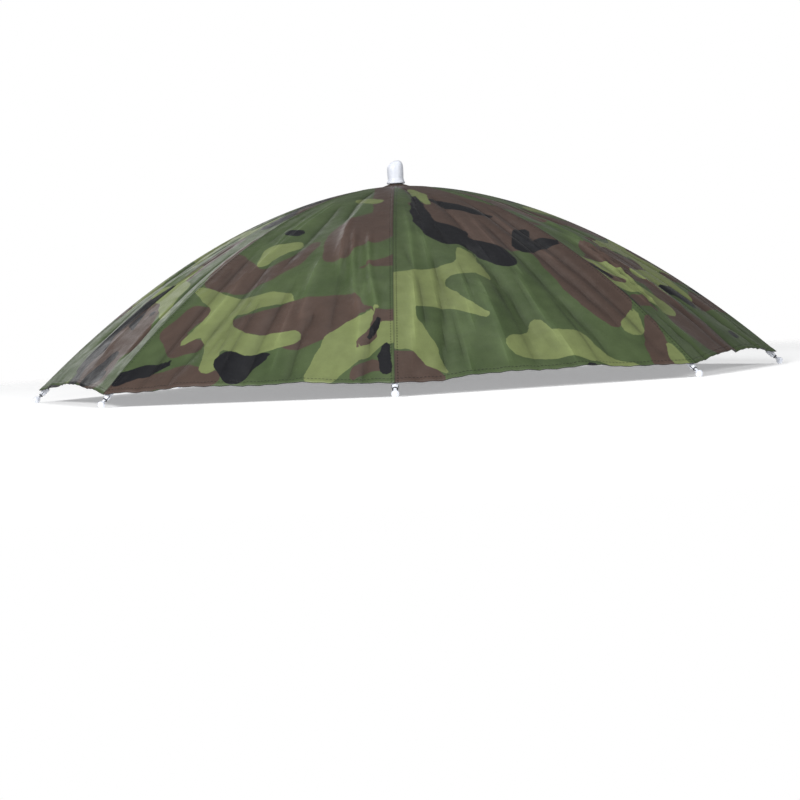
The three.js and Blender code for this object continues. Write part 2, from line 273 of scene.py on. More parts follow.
# folds and creases
folds = {   # heights, widths and lengths in mm; a pair is where a fold starts and where it is full
    "clearOfSeam": (1, 16),
    # folds that fan out from a gore's two corners at the hem
    "fan": 1.3, "fanCount": 9, "fanSharp": .7, "fanMean": .6,
    "fanStart": (6, 40), "fanEnd": (55, 165), "fanBearing": (.04, .3),
    # long soft waves: (share across, share along, height)
    "swells": ((1, .35, 1), (1.7, -.2, .6), (.5, .8, .5)),
    "swell": .85, "swellLength": 95, "swellStart": (60, 170),
    # small waves along the seams and the hem, and how far from them they die out
    "pucker": .45, "puckerLength": 18, "puckerStart": (60, 120),
    "puckerBySeam": 9, "puckerFromSeam": (.5, 4), "puckerByHem": 11, "puckerFromCorner": (4, 20),
    "pleat": .3, "pleatCount": 3, "pleatStart": (7, 11), "pleatEnd": (12, 30),   # round the neck
    "seamRidge": .5, "seamRidgeWidth": 3.2, "seamRidgeStart": (12, 40),
    "hemStep": .35, "hemEdge": (5, 7),
    "bend": 3,                                           # how far a crease bows
    "creaseStart": (-.05, .25), "creaseEnd": (.8, 1.1),   # shares of a crease's length
    "fineCount": 14, "fineFaint": (.3, 1.8),   # fine creases are fainter by as many mm
    "lineEnds": .12, "lineFade": 40,           # where a crease's sharp line fades, as a share, and how fast
    "noCrease": 60,                            # further off than a line shows
    # creases that packing left: (share, across) at each end, depth (below 0 a ridge), half width
    "rightCreases": (
        ((.60, -.56), (1.02, -.70), 3.4, 10), ((.58, -.18), (.94, .02), 3.8, 5.5),
        ((.72, -.24), (1.02, -.28), -2.4, 7), ((.70, -.12), (1.02, -.07), 3.0, 5),
        ((.45, .30), (1.02, .46), 2.8, 10), ((.30, .55), (.92, .68), 2.0, 6),
        ((.35, .80), (.97, .84), 1.8, 5), ((.12, -.5), (.50, -.62), 1.8, 8),
        ((.35, -.80), (.95, -.88), -1.6, 6), ((.25, .05), (.60, .0), 2.0, 7),
        ((.70, .18), (1.02, .20), -1.4, 6),
    ),
    "leftCreases": (
        ((.48, .46), (.84, .74), -4.6, 5), ((.50, .68), (.82, .88), -5, 4.5),
        ((.38, .28), (.72, .50), -3.4, 6), ((.70, .04), (1.02, .00), 2.6, 8),
        ((.60, -.40), (1.02, -.56), 2.3, 11), ((.55, -.80), (1.0, -.78), 2.0, 7),
        ((.80, .36), (1.02, .30), 2.6, 9), ((.15, .1), (.45, .22), 1.6, 8), ((.80, .90), (1.02, .80), 2.4, 6),
        ((.62, .20), (.86, .26), -1.8, 7), ((.30, -.30), (.66, -.20), 1.8, 9),
    ),
}
chartScoop = 10.5   # mm: how far in the hem's middle was taken where the photograph was charted


def smoothRise(value, low, high):
    share = np.clip((value - low) / (high - low), 0, 1)
    return share * share * (3 - 2 * share)


def chartPoint(share, side):
    # a point read on the photograph's gore, as a share from crown to hem and from seam to seam, to flat mm
    r = share * (canopy["cornerRadius"] - chartScoop * (1 - side ** 2))
    return np.array([acrossGore(side, r), alongGore(r)])


def creaseLines(gore):
    # the two front gores carry the creases that the photograph shows, and the others turned and shifted ones
    flip = 1 if gore in (0, 2, 5, 7) else -1
    shift = 0 if gore in (0, 7) else (-22, 14, -34, 26)[gore % 4]
    for start, end, depth, width in folds["leftCreases" if gore % 2 else "rightCreases"]:
        a, b = (chartPoint(*place) * (flip, 1) + (0, shift) for place in (start, end))
        yield a, b, depth, width


def measureCrease(gore, a, b):
    # how far along a crease each point lies, as a share, and how far to its side in mm
    length = np.linalg.norm(b - a)
    line = (b - a) / length
    x, y = flatX[gore] - a[0], flatY[gore] - a[1]
    run = (x * line[0] + y * line[1]) / length
    bend = folds["bend"] * np.sin(math.pi * np.clip(run, 0, 1)) * (1 if a[0] > 0 else -1)
    return run, x * line[1] - y * line[0] + bend


def creaseHeight(gore):
    total = np.zeros_like(flatX[gore])
    for a, b, depth, width in creaseLines(gore):
        run, off = measureCrease(gore, a, b)
        window = smoothRise(run, *folds["creaseStart"]) * (1 - smoothRise(run, *folds["creaseEnd"]))
        total -= window * depth * (.75 * np.exp(-abs(off) / width) + .25 * np.exp(-(off / (.4 * width)) ** 2))
    return total


def creaseGaps():
    # mm to the nearest valley and to the nearest ridge, for the sharp line that the mesh is too coarse to show
    gaps = {name: np.full_like(flatX, folds["noCrease"]) for name in ("valleyGap", "ridgeGap")}
    rng = np.random.default_rng(21)
    for gore in range(goreCount):
        lines = [(a, b, depth, 0) for a, b, depth, width in creaseLines(gore)]
        for _ in range(folds["fineCount"]):
            share, side, length = rng.uniform(.2, .8), rng.uniform(-.9, .9), rng.uniform(.12, .4)
            a, b = chartPoint(share, side), chartPoint(share + length, side + rng.uniform(-.12, .12))
            lines.append((a, b, rng.uniform(-1, 1), rng.uniform(*folds["fineFaint"])))
        for a, b, depth, faint in lines:
            run, off = measureCrease(gore, a, b)
            pastEnds = np.maximum(folds["lineEnds"] - run, run - (1 - folds["lineEnds"]))
            gap = abs(off) + np.maximum(pastEnds, 0) * folds["lineFade"] + faint
            field = gaps["valleyGap" if depth > 0 else "ridgeGap"]
            field[gore] = np.minimum(field[gore], gap)
    return gaps


def fanFolds(gore, rng):
    total = np.zeros_like(flatX[gore])
    for side in (-1, 1):
        fromSeam = acrossGore(1, radius[gore]) - side * flatX[gore]
        fromHem = alongGore(canopy["cornerRadius"]) - flatY[gore]
        away = np.hypot(fromSeam, fromHem)
        bearing = np.arctan2(fromSeam, np.maximum(fromHem, 0) + 1e-6)
        turns = folds["fanCount"] / 2 * bearing * rng.uniform(.9, 1.1) + rng.uniform(0, 3)
        wave = abs(np.sin(turns)) ** folds["fanSharp"] - folds["fanMean"]
        endStart, endFull = folds["fanEnd"]
        ending = smoothRise(away, endStart, endFull * rng.uniform(.85, 1.1))
        clearOfSeam = smoothRise(bearing, *folds["fanBearing"])
        total += wave * smoothRise(away, *folds["fanStart"]) * (1 - ending) * clearOfSeam
    return folds["fan"] * total


def longSwells(gore, rng):
    phases = rng.uniform(0, 2 * math.pi, 4)   # one more than there are waves
    turns = 2 * math.pi / folds["swellLength"]
    total = np.zeros_like(flatX[gore])
    for (acrossShare, alongShare, height), phase in zip(folds["swells"], phases):
        total += height * np.sin(turns * (acrossShare * flatX[gore] + alongShare * flatY[gore]) + phase)
    return folds["swell"] * total * smoothRise(radius[gore], *folds["swellStart"])


def foldHeight():
    rng = np.random.default_rng(8)
    total = np.zeros_like(flatX)
    for gore in range(goreCount):
        total[gore] = fanFolds(gore, rng) + longSwells(gore, rng) + creaseHeight(gore)
    total *= smoothRise(seamGap, *folds["clearOfSeam"])
    bySeam = np.exp(-seamGap / folds["puckerBySeam"]) * smoothRise(seamGap, *folds["puckerFromSeam"])
    bySeam *= smoothRise(radius, *folds["puckerStart"])
    byHem = np.exp(-np.maximum(hemGap, 0) / folds["puckerByHem"])
    byHem = byHem * smoothRise(seamGap, *folds["puckerFromCorner"])
    phases = rng.uniform(0, 2 * math.pi, (goreCount, 1, 1))
    turns = 2 * math.pi / folds["puckerLength"]
    total += folds["pucker"] * bySeam * np.sin(turns * (flatY + .7 * seamGap) + phases)
    total += folds["pucker"] * byHem * np.sin(turns * (flatX * 1.1 + .5 * hemGap) + 2 * phases)
    pleats = np.cos(folds["pleatCount"] * math.pi * (across + 1)) * smoothRise(radius, *folds["pleatStart"])
    total += folds["pleat"] * pleats * (1 - smoothRise(radius, *folds["pleatEnd"]))
    ridge = np.exp(-(seamGap / folds["seamRidgeWidth"]) ** 2)
    total += folds["seamRidge"] * ridge * smoothRise(radius, *folds["seamRidgeStart"])
    total += folds["hemStep"] * (1 - smoothRise(hemGap, *folds["hemEdge"]))
    return total


def clothPoints(height):
    # the dome's points in metres, with the folds' height added square to the seams' slope
    pastNeck = (radius - canopy["neck"]) / canopy["gatherReach"]
    gather = canopy["gatherRise"] * np.exp(-pastNeck ** 2)
    slope = np.arctan(seamFall(radius) + 2 * gather * pastNeck / canopy["gatherReach"])
    bearing = across * goreAngle / 2
    x = radius * halfCosine + canopy["bulge"] * radius / canopy["cornerRadius"] * arch
    y = across * radius * halfSine
    z = seamHeight(radius) + gather + lift
    x = x + height * np.cos(bearing) * np.sin(slope)
    y = y + height * np.sin(bearing) * np.sin(slope)
    z = z + height * np.cos(slope)
    middle = (frontAzimuth + goreAngle * (np.arange(goreCount) + .5))[:, None, None]
    turnedX = x * np.cos(middle) - y * np.sin(middle)
    turnedY = x * np.sin(middle) + y * np.cos(middle)
    return np.stack([turnedX, turnedY, z], -1) * mm


# the camouflage print
# Brush strokes charted: (share from crown to hem, across, brush radius in mm). Each row is one stroke.
rightPrint = {
    "light": (
        ((.735, -1.02, 21), (.73, -.62, 21)), ((.76, -1, 16), (.87, -1, 20)),
        ((.87, -.92, 18), (.92, -.80, 11), (.96, -.75, 7), (.99, -.68, 2.5)),
        ((.785, -.80, 9), (.78, -.60, 14), (.828, -.41, 6.5), (.859, -.30, 4)),
        ((.69, -.56, 8), (.69, -.30, 9.5), (.69, -.20, 7), (.72, -.15, 4), (.74, -.12, 2)),
        ((.69, -.28, 9), (.64, -.22, 8), (.608, -.25, 2.5)),
        ((.955, -.12, 14), (.95, .05, 18), (.955, .25, 15), (.985, .33, 9), (1.01, .45, 5), (1.02, .56, 7)),
        ((.95, .06, 14), (.90, .09, 10)), ((.90, .79, 11), (.85, .92, 3.5)),
        ((.95, .94, 3), (.985, .91, 6), (1.01, .90, 7)),
        # a pale streak near the crown: painted highlight on a gathering fold
        ((.17, -.34, 3), (.25, -.26, 6), (.33, -.26, 3)),
    ),
    "brown": (
        ((.965, -1, 22), (.968, -.88, 17), (1.0, -.74, 7)),
        ((.60, .80, 18), (.68, .76, 21), (.76, .76, 24), (.82, .76, 24), (.86, .70, 14), (.89, .67, 7)),
        ((.87, .98, 4), (.92, .90, 8), (.96, .84, 11), (1.0, .81, 13)),
        ((.33, -.50, 8), (.42, -.25, 13), (.50, 0, 21), (.555, .30, 24), (.56, .62, 24), (.60, .90, 20)),
        ((.06, 0, 12), (.20, .1, 16), (.34, .25, 22), (.44, .6, 24), (.48, .9, 20)),
    ),
    "black": (
        ((.25, -.44, 2), (.33, -.50, 5), (.40, -.54, 8), (.47, -.52, 10), (.53, -.44, 10),
         (.556, -.34, 10), (.565, -.17, 8), (.60, -.04, 9), (.635, .08, 14), (.665, .14, 13)),
        ((.50, -.34, 12), (.53, -.16, 10)), ((.30, -.1, 3), (.37, .15, 7), (.42, .4, 6), (.44, .6, 2)),
        ((.60, .50, 8), (.53, .72, 8)), ((.61, .52, 8), (.588, .80, 8), (.585, .95, 4)),
        ((1.02, .27, 4), (1.02, .28, 4)),
    ),
    "notch": (   # where the light print is left out
        ((.745, -.41, 13), (.76, -.30, 15), (.785, -.18, 18)), ((.885, .165, 5), (.915, .16, 2)),
    ),
}
seamLeaf = (   # a brown leaf by the front seam, left clear of the light print
    ((.818, 1.02, 8), (.822, .90, 6.5)),
    ((.822, .90, 4.5), (.85, .86, 3.5), (.885, .825, 6), (.897, .78, 6), (.914, .735, 1.5)),
)
leftPrint = {
    "light": (
        ((.705, -.95, 5), (.735, -.76, 8), (.77, -.55, 11), (.785, -.30, 11), (.77, -.12, 9), (.765, .02, 6),
         (.775, .10, 2)),
        ((.80, -.52, 12), (.845, -.58, 8), (.88, -.67, 4)),
        ((.86, -.44, 13), (.905, -.38, 8), (.93, -.35, 7), (.965, -.31, 9)),
        ((.80, -.50, 12), (.86, -.44, 13)),
        ((.865, -.38, 10), (.895, -.25, 11), (.915, -.10, 12), (.905, .05, 10), (.893, .22, 9)),
        ((.615, -.52, 7), (.57, -.50, 12), (.55, -.30, 8)), ((.90, .66, 15), (.945, .61, 19), (.99, .53, 15)),
        ((.805, .865, 2.5), (.835, .80, 5), (.87, .70, 12), (.90, .62, 16)),
        ((.868, 1.0, 14), (.87, .88, 14), (.91, .78, 14), (.905, .68, 15)), ((.27, .1, 6), (.30, .6, 6)),
    ),
    "brown": (
        ((.855, -.33, 12), (.85, -.20, 12), (.845, -.05, 15), (.83, .12, 20), (.845, .32, 33), (.83, .48, 27),
         (.815, .57, 17), (.822, .68, 6), (.81, .80, 3)),
        ((.61, -.95, 18), (.655, -.78, 24), (.685, -.55, 18), (.675, -.32, 11), (.63, -.13, 10),
         (.56, -.02, 7)),
        ((.79, -.60, 7), (.795, -.76, 12), (.845, -.84, 11), (.895, -.68, 11), (.895, -.55, 8)),
        ((1.0, -.92, 12), (.985, -.70, 10), (.985, -.50, 14), (1.0, -.25, 9)),
        ((.05, 0, 12), (.25, .8, 12), (.40, 1.02, 18)),
        ((.44, 1.02, 30), (.475, .72, 33), (.51, .53, 28)),
        ((.50, .45, 20), (.55, .38, 17), (.61, .38, 14)), ((.628, 1.02, 10), (.643, .83, 5), (.667, .66, 1.5)),
        ((.995, .73, 3), (.975, .77, 6), (.962, .83, 7), (.962, .91, 5)), *seamLeaf,
    ),
    "black": (
        ((.955, -.20, 11), (.975, -.10, 13), (.95, .03, 6), (.94, .09, 3)),
        ((.975, -.12, 11), (.995, -.08, 10)), ((.475, -.60, 5), (.48, -.45, 6)),
        # a dark diagonal beside the seam leaf: painted shadow of a fold
        ((.83, .885, 2), (.855, .86, 3), (.882, .83, 3)),
        # a dark patch by the front seam near the hem: painted shade in a fold
        ((.905, .945, 3.5), (.935, .93, 4.5), (.97, .95, 5)),
        ((.965, -.97, 8), (.95, -.82, 6), (.935, -.66, 3)),
    ),
    "notch": seamLeaf,
}
# How each gore was cut from the printed cloth: strokes, mirrored or not, shift along and across in mm
goreCuts = (
    (rightPrint, 1, 0, 0), (leftPrint, -1, -60, 8), (rightPrint, -1, -130, -10), (leftPrint, 1, 70, 0),
    (rightPrint, -1, 40, 12), (leftPrint, -1, 150, -6), (rightPrint, 1, -95, 10), (leftPrint, 1, 0, 0))
printing = {   # mm along the cloth
    "repeat": 250, "repeats": (-2, -1, 0, 1, 2),
    "goreStretch": (-60, 450),   # strokes wholly outside it don't reach the gore
    "farOutside": -60, "melt": 4,   # neighbouring strokes melt together over this width
    "darkCrown": 24,             # the gathers at the crown have no light print
}
printLayers = ("brown", "light", "black")
frontGores = (0, goreCount - 1)


def smoothLarger(a, b):
    share = np.clip(.5 + .5 * (b - a) / printing["melt"], 0, 1)
    return a + (b - a) * share + printing["melt"] * share * (1 - share)


def insideStroke(gore, a, b, startRadius, endRadius):
    # mm inside a stroke from a to b, negative outside it
    x, y = flatX[gore] - a[0], flatY[gore] - a[1]
    line = b - a
    run = np.clip((x * line[0] + y * line[1]) / max(line @ line, 1e-6), 0, 1)
    return startRadius + (endRadius - startRadius) * run - np.hypot(x - run * line[0], y - run * line[1])


def paintLayer(layer):
    # mm inside the layer's strokes, negative outside them
    field = np.full_like(flatX, printing["farOutside"])
    low, high = printing["goreStretch"]
    for gore, (strokes, flip, shiftAlong, shiftAcross) in enumerate(goreCuts):
        for stroke in strokes[layer]:
            for (s0, t0, r0), (s1, t1, r1) in zip(stroke, stroke[1:]):
                for repeat in (0,) if gore in frontGores else printing["repeats"]:
                    moved = np.array([shiftAcross, shiftAlong + repeat * printing["repeat"]])
                    a, b = (chartPoint(*place) * (flip, 1) + moved for place in ((s0, t0), (s1, t1)))
                    if max(a[1], b[1]) < low or min(a[1], b[1]) > high:
                        continue
                    field[gore] = smoothLarger(field[gore], insideStroke(gore, a, b, r0, r1))
    return field


printFields = {layer: paintLayer(layer) for layer in printLayers}
printFields["light"] = -smoothLarger(-printFields["light"], paintLayer("notch") - 1)
printFields["light"] = np.minimum(printFields["light"], flatY - printing["darkCrown"])
print("camouflage charted")

# cloth materials
printed = {
    "green": "#465435", "greenDeep": "#3c4a2d", "brown": "#493b34", "light": "#6c764a", "black": "#111216",
    "edge": .5,             # mm over which one printed colour turns to the next
    "wander": .9,           # mm that the printed edges wander
    "threadPitch": 1.0,     # mm; real threads lie 0.15 mm apart, and wouldn't show in the render
    "stitchPitch": 3.2, "stitchLength": 2.1, "stitchWidth": .75,   # mm; real thread is 0.3 mm thick
    "seamStitch": 2.6,      # mm from the seam line to the felled seam's row of stitches
    "hemStitch": 4.6,       # mm from the hem's edge to its row of stitches
    "creaseWidth": 2.2,     # mm
    # the crease tone paints highlight on ridges and shade in valleys
    "uneven": (.92, 1.07), "seamTone": .62, "stitchTone": .55, "creaseLightAndShade": (.58, 1.36),   # shares of the ink
    "gloss": (.44, .56),
    "weaveDepth": .05, "stitchDepth": -.8, "creaseDepth": 3.4,   # in units of the bump
}


def stitchRow(tree, along, off, place):
    # 1 on a stitch and 0 elsewhere: dashes in a row that lies at the distance place from a seam or hem
    width, length, half = printed["stitchWidth"], printed["stitchLength"], printed["stitchPitch"] / 2
    gap = addNode(tree, "Math", (off, place), operation="SUBTRACT")
    gap = addNode(tree, "Math", (gap,), operation="ABSOLUTE")
    row = addNode(tree, "MapRange", (gap, width * .5, width * .9, 1, 0), **smoothly)
    dash = addNode(tree, "Math", (along, half, -half), operation="WRAP")
    dash = addNode(tree, "Math", (dash,), operation="ABSOLUTE")
    dash = addNode(tree, "MapRange", (dash, length * .4, length * .55, 1, 0), **smoothly)
    return addNode(tree, "Math", (row, dash), operation="MULTIPLY")


def creaseRelief(tree):
    # 1 on a ridge's line and -1 on a valley's, fading to 0 at both sides
    lines = []
    for name in ("ridgeGap", "valleyGap"):
        gap = addNode(tree, "Attribute", attribute_name=name).outputs["Fac"]
        widths = addNode(tree, "Math", (gap, -printed["creaseWidth"]), operation="DIVIDE")
        lines.append(addNode(tree, "Math", (widths,), operation="EXPONENT"))
    return addNode(tree, "Math", lines, operation="SUBTRACT")


def makePrintedNylon():
    # Coated nylon taffeta, woven and printed: satin, with soft sheen along its folds and crisp flat inks
    material, tree, shader = startMaterial("printedNylonTaffeta", Roughness=.46, IOR=1.5,
                                           Specular_IOR_Level=.25, Sheen_Weight=.05, Sheen_Roughness=.35)
    flat = addNode(tree, "UVMap", uv_map="goreFlat").outputs[0]
    axes = addNode(tree, "SeparateXYZ", (flat,))
    side = addNode(tree, "Math", (axes.outputs["X"], 1000), operation="MULTIPLY")   # m to mm
    along = addNode(tree, "Math", (axes.outputs["Y"], 1000), operation="MULTIPLY")

    # green ground in two depths, then the inks, layer by layer
    patches = addNode(tree, "TexNoise", {"Vector": flat, "Scale": 22, "Detail": 2})   # 45 mm
    share = addNode(tree, "MapRange", (patches, .35, .7, 0, 1), **smoothly)
    inks = {0: share, 6: linear(printed["green"]), 7: linear(printed["greenDeep"])}
    colour = addNode(tree, "Mix", inks, data_type="RGBA").outputs[2]
    wander = addNode(tree, "TexNoise", {"Vector": flat, "Scale": 160, "Detail": 2, "Roughness": .5})   # 6 mm
    wander = addNode(tree, "Math", (wander, .5), operation="SUBTRACT")
    wander = addNode(tree, "Math", (wander, 2 * printed["wander"]), operation="MULTIPLY")
    half = printed["edge"] / 2
    for layer in printLayers:
        inside = addNode(tree, "Attribute", attribute_name=layer + "Print").outputs["Fac"]
        inside = addNode(tree, "Math", (inside, wander), operation="ADD")
        share = addNode(tree, "MapRange", (inside, -half, half, 0, 1), **smoothly)
        inks = {0: share, 6: colour, 7: linear(printed[layer])}
        colour = addNode(tree, "Mix", inks, data_type="RGBA").outputs[2]

    # the ink is a little uneven and dark by the seams and on stitches; paler ridges and darker valleys are
    # painted highlight and painted shade along the creases
    wear = addNode(tree, "TexNoise", {"Vector": flat, "Scale": 70, "Detail": 4, "Roughness": .6})   # 14 mm
    seam = addNode(tree, "Attribute", attribute_name="seamGap").outputs["Fac"]
    hem = addNode(tree, "Attribute", attribute_name="hemGap").outputs["Fac"]
    creases = creaseRelief(tree)
    stitches = addNode(tree, "Math", (stitchRow(tree, along, seam, printed["seamStitch"]),
                                      stitchRow(tree, side, hem, printed["hemStitch"])), operation="MAXIMUM")
    tone = addNode(tree, "MapRange", (wear, .3, .7, *printed["uneven"]), **smoothly)
    for value, low, high, start, end in ((seam, .2, 1.5, printed["seamTone"], 1),
                                         (stitches, 0, 1, 1, printed["stitchTone"]),
                                         # painted highlight on the creases' ridges and painted shade in their
                                         # valleys
                                         (creases, -1, 1, *printed["creaseLightAndShade"])):
        change = addNode(tree, "MapRange", (value, low, high, start, end), **smoothly)
        tone = addNode(tree, "Math", (tone, change), operation="MULTIPLY")
    colour = addNode(tree, "VectorMath", {0: colour, 3: tone}, operation="SCALE")

    # weave, puckers of 8 mm, stitches drawn in and creases
    turns = 2 * math.pi / printed["threadPitch"]
    threads = []
    for way in (side, along):
        angle = addNode(tree, "Math", (way, turns), operation="MULTIPLY")
        threads.append(addNode(tree, "Math", (angle,), operation="SINE"))
    weave = addNode(tree, "Math", threads, operation="MULTIPLY")
    puckers = addNode(tree, "TexNoise", {"Vector": flat, "Scale": 120, "Detail": 3})
    height = puckers
    for relief, depth in ((weave, "weaveDepth"), (stitches, "stitchDepth"), (creases, "creaseDepth")):
        relief = addNode(tree, "Math", (relief, printed[depth]), operation="MULTIPLY")
        height = addNode(tree, "Math", (height, relief), operation="ADD")
    bump = addNode(tree, "Bump", {"Height": height, "Strength": .5, "Distance": .0006})
    gloss = addNode(tree, "MapRange", (puckers, .3, .7, *printed["gloss"]), **smoothly)
    fillShader(tree, shader, Base_Color=colour, Roughness=gloss, Normal=bump)
    return material


silver = {
    "tone": "#a2a3a6", "dark": "#96979a", "metal": .4,
    "hem": "#141416", "hemWidth": 4.2, "seamWidth": 2.5, "edge": .3,   # mm of turned hem and seam that show near black: painted shade
    "creaseDepth": -1.5,   # seen from inside, a ridge is a valley
}


def makeSilverCoating():
    # Aluminium-pigment polyurethane, knife-coated on the inside: a soft grey sheen that shows every crease
    material, tree, shader = startMaterial("silverCoating", Roughness=.52)
    flat = addNode(tree, "UVMap", uv_map="goreFlat").outputs[0]
    streaks = addNode(tree, "Mapping", {"Vector": flat, "Scale": (90, 9, 1)})   # streaks run along a gore
    streaks = addNode(tree, "TexNoise", {"Vector": streaks, "Scale": 1, "Detail": 3})
    share = addNode(tree, "MapRange", (streaks, .3, .7, 0, 1), **smoothly)
    tones = {0: share, 6: linear(silver["dark"]), 7: linear(silver["tone"])}
    colour = addNode(tree, "Mix", tones, data_type="RGBA").outputs[2]
    edges = []
    for name, width in (("hemGap", silver["hemWidth"]), ("seamGap", silver["seamWidth"])):
        gap = addNode(tree, "Attribute", attribute_name=name).outputs["Fac"]
        limits = (gap, width - silver["edge"], width + silver["edge"], 1, 0)
        edges.append(addNode(tree, "MapRange", limits, **smoothly))
    # near-black bands along the hem and beside the seams are painted shade
    turned = addNode(tree, "Math", edges, operation="MAXIMUM")
    tones = {0: turned, 6: colour, 7: linear(silver["hem"])}
    colour = addNode(tree, "Mix", tones, data_type="RGBA").outputs[2]
    metal = addNode(tree, "MapRange", (edges[0], 0, 1, silver["metal"], 0), **smoothly)
    puckers = addNode(tree, "TexNoise", {"Vector": flat, "Scale": 120, "Detail": 3})   # 8 mm
    creases = addNode(tree, "Math", (creaseRelief(tree), silver["creaseDepth"]), operation="MULTIPLY")
    height = addNode(tree, "Math", (puckers, creases), operation="ADD")
    bump = addNode(tree, "Bump", {"Height": height, "Strength": .4, "Distance": .0006})
    fillShader(tree, shader, Base_Color=colour, Metallic=metal, Normal=bump)
    return material


def makeHemEdge():
    # Cut and turned nylon edge, matt; its near black is painted shade
    material, tree, shader = startMaterial("turnedHemEdge", Roughness=.7)
    place = addNode(tree, "TexCoord").outputs["Object"]
    fuzz = addNode(tree, "TexNoise", {"Vector": place, "Scale": 1200, "Detail": 2})   # thread ends under 1 mm
    tones = {0: fuzz, 6: linear("#121214"), 7: linear("#26272a")}
    fillShader(tree, shader, Base_Color=addNode(tree, "Mix", tones, data_type="RGBA").outputs[2])
    return material


# the canopy cloth, one continuous sheet
def makeCanopy():
    # a line of points, one for each ring, is spun round and then moved to where the cloth lies
    columns = goreCount * canopy["columns"]
    bm = bmesh.new()
    start = Matrix.Rotation(frontAzimuth, 4, "Z")
    line = [bm.verts.new(start @ Vector((i + 1, 0, 0))) for i in range(ringCount)]
    edges = [bm.edges.new(pair) for pair in zip(line, line[1:])]
    bmesh.ops.spin(bm, geom=line + edges, cent=(0, 0, 0), axis=(0, 0, 1), angle=2 * math.pi,
                   steps=columns, use_merge=True)
    place = np.array([v.co for v in bm.verts])
    ring = np.rint(np.hypot(place[:, 0], place[:, 1])).astype(int) - 1
    bearing = np.arctan2(place[:, 1], place[:, 0]) - frontAzimuth
    column = np.rint(bearing / (2 * math.pi) * columns).astype(int) % columns
    points = clothPoints(foldHeight())
    shaped = points[column // canopy["columns"], ring, column % canopy["columns"]]
    for vertex, point in zip(bm.verts, shaped.tolist()):
        vertex.co = point
    bmesh.ops.recalc_face_normals(bm, faces=bm.faces)
    bm.faces.ensure_lookup_table()
    if sum(face.normal.z for face in bm.faces) < 0:
        bmesh.ops.reverse_faces(bm, faces=bm.faces)
    cloth = makeObject("canopy_cloth", bm, [makePrintedNylon(), makeSilverCoating(), makeHemEdge()])
    # the print, seams, hem and creases go to the face corners, and the flat cut to the UV map in metres
    mesh = cloth.data
    corners = np.zeros(len(mesh.loops), int)
    mesh.loops.foreach_get("vertex_index", corners)
    cornerColumn = column[corners].reshape(-1, 4)
    wrapped = np.ptp(cornerColumn, axis=1) > 1
    faceColumn = np.where(wrapped, columns - 1, cornerColumn.min(axis=1))
    gore = (faceColumn // canopy["columns"])[:, None]
    inGore = (cornerColumn - gore * canopy["columns"]) % columns
    index = np.broadcast_to(gore, inGore.shape), ring[corners].reshape(-1, 4), inGore
    fields = {layer + "Print": field for layer, field in printFields.items()}
    fields.update(creaseGaps(), seamGap=seamGap, hemGap=hemGap + 0 * across)
    for name, field in fields.items():
        attribute = mesh.attributes.new(name, "FLOAT", "CORNER")
        attribute.data.foreach_set("value", field[index].ravel().astype(np.float32))
    cut = np.stack([flatX[index], flatY[index]], -1) * mm
    flat = mesh.uv_layers.new(name="goreFlat")
    flat.data.foreach_set("uv", cut.ravel().astype(np.float32))
    addModifier(cloth, "SOLIDIFY", thickness=canopy["thickness"] * mm, offset=-1, material_offset=1,
                material_offset_rim=2)
    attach(cloth, "root")
    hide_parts(*eightOf("canopy_panel"))


makeCanopy()
print("canopy made:", ringCount, "rings")

# white plastic: rib tips, cap and hub
plastic = {"white": "#e8ebf2", "shade": "#d6dae4"}


def makeWhitePlastic():
    # Injection-moulded polypropylene: satin, a little translucent, faint mould texture
    material, tree, shader = startMaterial(
        "whitePolypropylene", Roughness=.36, IOR=1.49, Subsurface_Weight=.25, Subsurface_Scale=.002,
        Subsurface_Radius=(1, 1, 1))
    place = addNode(tree, "TexCoord").outputs["Object"]
    mottle = addNode(tree, "TexNoise", {"Vector": place, "Scale": 260, "Detail": 3})   # 4 mm
    tones = {0: mottle, 6: linear(plastic["shade"]), 7: linear(plastic["white"])}
    colour = addNode(tree, "Mix", tones, data_type="RGBA").outputs[2]
    skin = addNode(tree, "TexNoise", {"Vector": place, "Scale": 1500, "Detail": 2})   # 0.7 mm moulded skin
    gloss = addNode(tree, "MapRange", (skin, .3, .7, .30, .44), **smoothly)
    bump = addNode(tree, "Bump", {"Height": skin, "Strength": .15, "Distance": .0001})
    fillShader(tree, shader, Base_Color=colour, Roughness=gloss, Normal=bump)
    return material


def makeThread():
    # Spun polyester sewing thread: matt, dark, with a twist
    material, tree, shader = startMaterial("sewingThread", Roughness=.75, Sheen_Weight=.3)
    place = addNode(tree, "TexCoord").outputs["Object"]
    twist = addNode(tree, "TexNoise", {"Vector": place, "Scale": 2500, "Detail": 1})   # 0.4 mm
    tones = {0: twist, 6: linear("#17181a"), 7: linear("#34363a")}
    colour = addNode(tree, "Mix", tones, data_type="RGBA").outputs[2]
    bump = addNode(tree, "Bump", {"Height": twist, "Strength": .4, "Distance": .0001})
    fillShader(tree, shader, Base_Color=colour, Normal=bump)
    return material


whitePlastic, threadMaterial = makeWhitePlastic(), makeThread()


def spinProfile(bm, profile, steps, closed=False):
    # turns (radius, height) pairs in mm about Z; points on the axis are merged afterwards
    line = [bm.verts.new((r * mm, 0, h * mm)) for r, h in profile]
    pairs = list(zip(line, line[1:])) + ([(line[-1], line[0])] if closed else [])
    edges = [bm.edges.new(pair) for pair in pairs]
    bmesh.ops.spin(bm, geom=line + edges, cent=(0, 0, 0), axis=(0, 0, 1), angle=2 * math.pi, steps=steps,
                   use_merge=True)
    bmesh.ops.remove_doubles(bm, verts=bm.verts, dist=mergeDistance)
    bmesh.ops.recalc_face_normals(bm, faces=bm.faces)


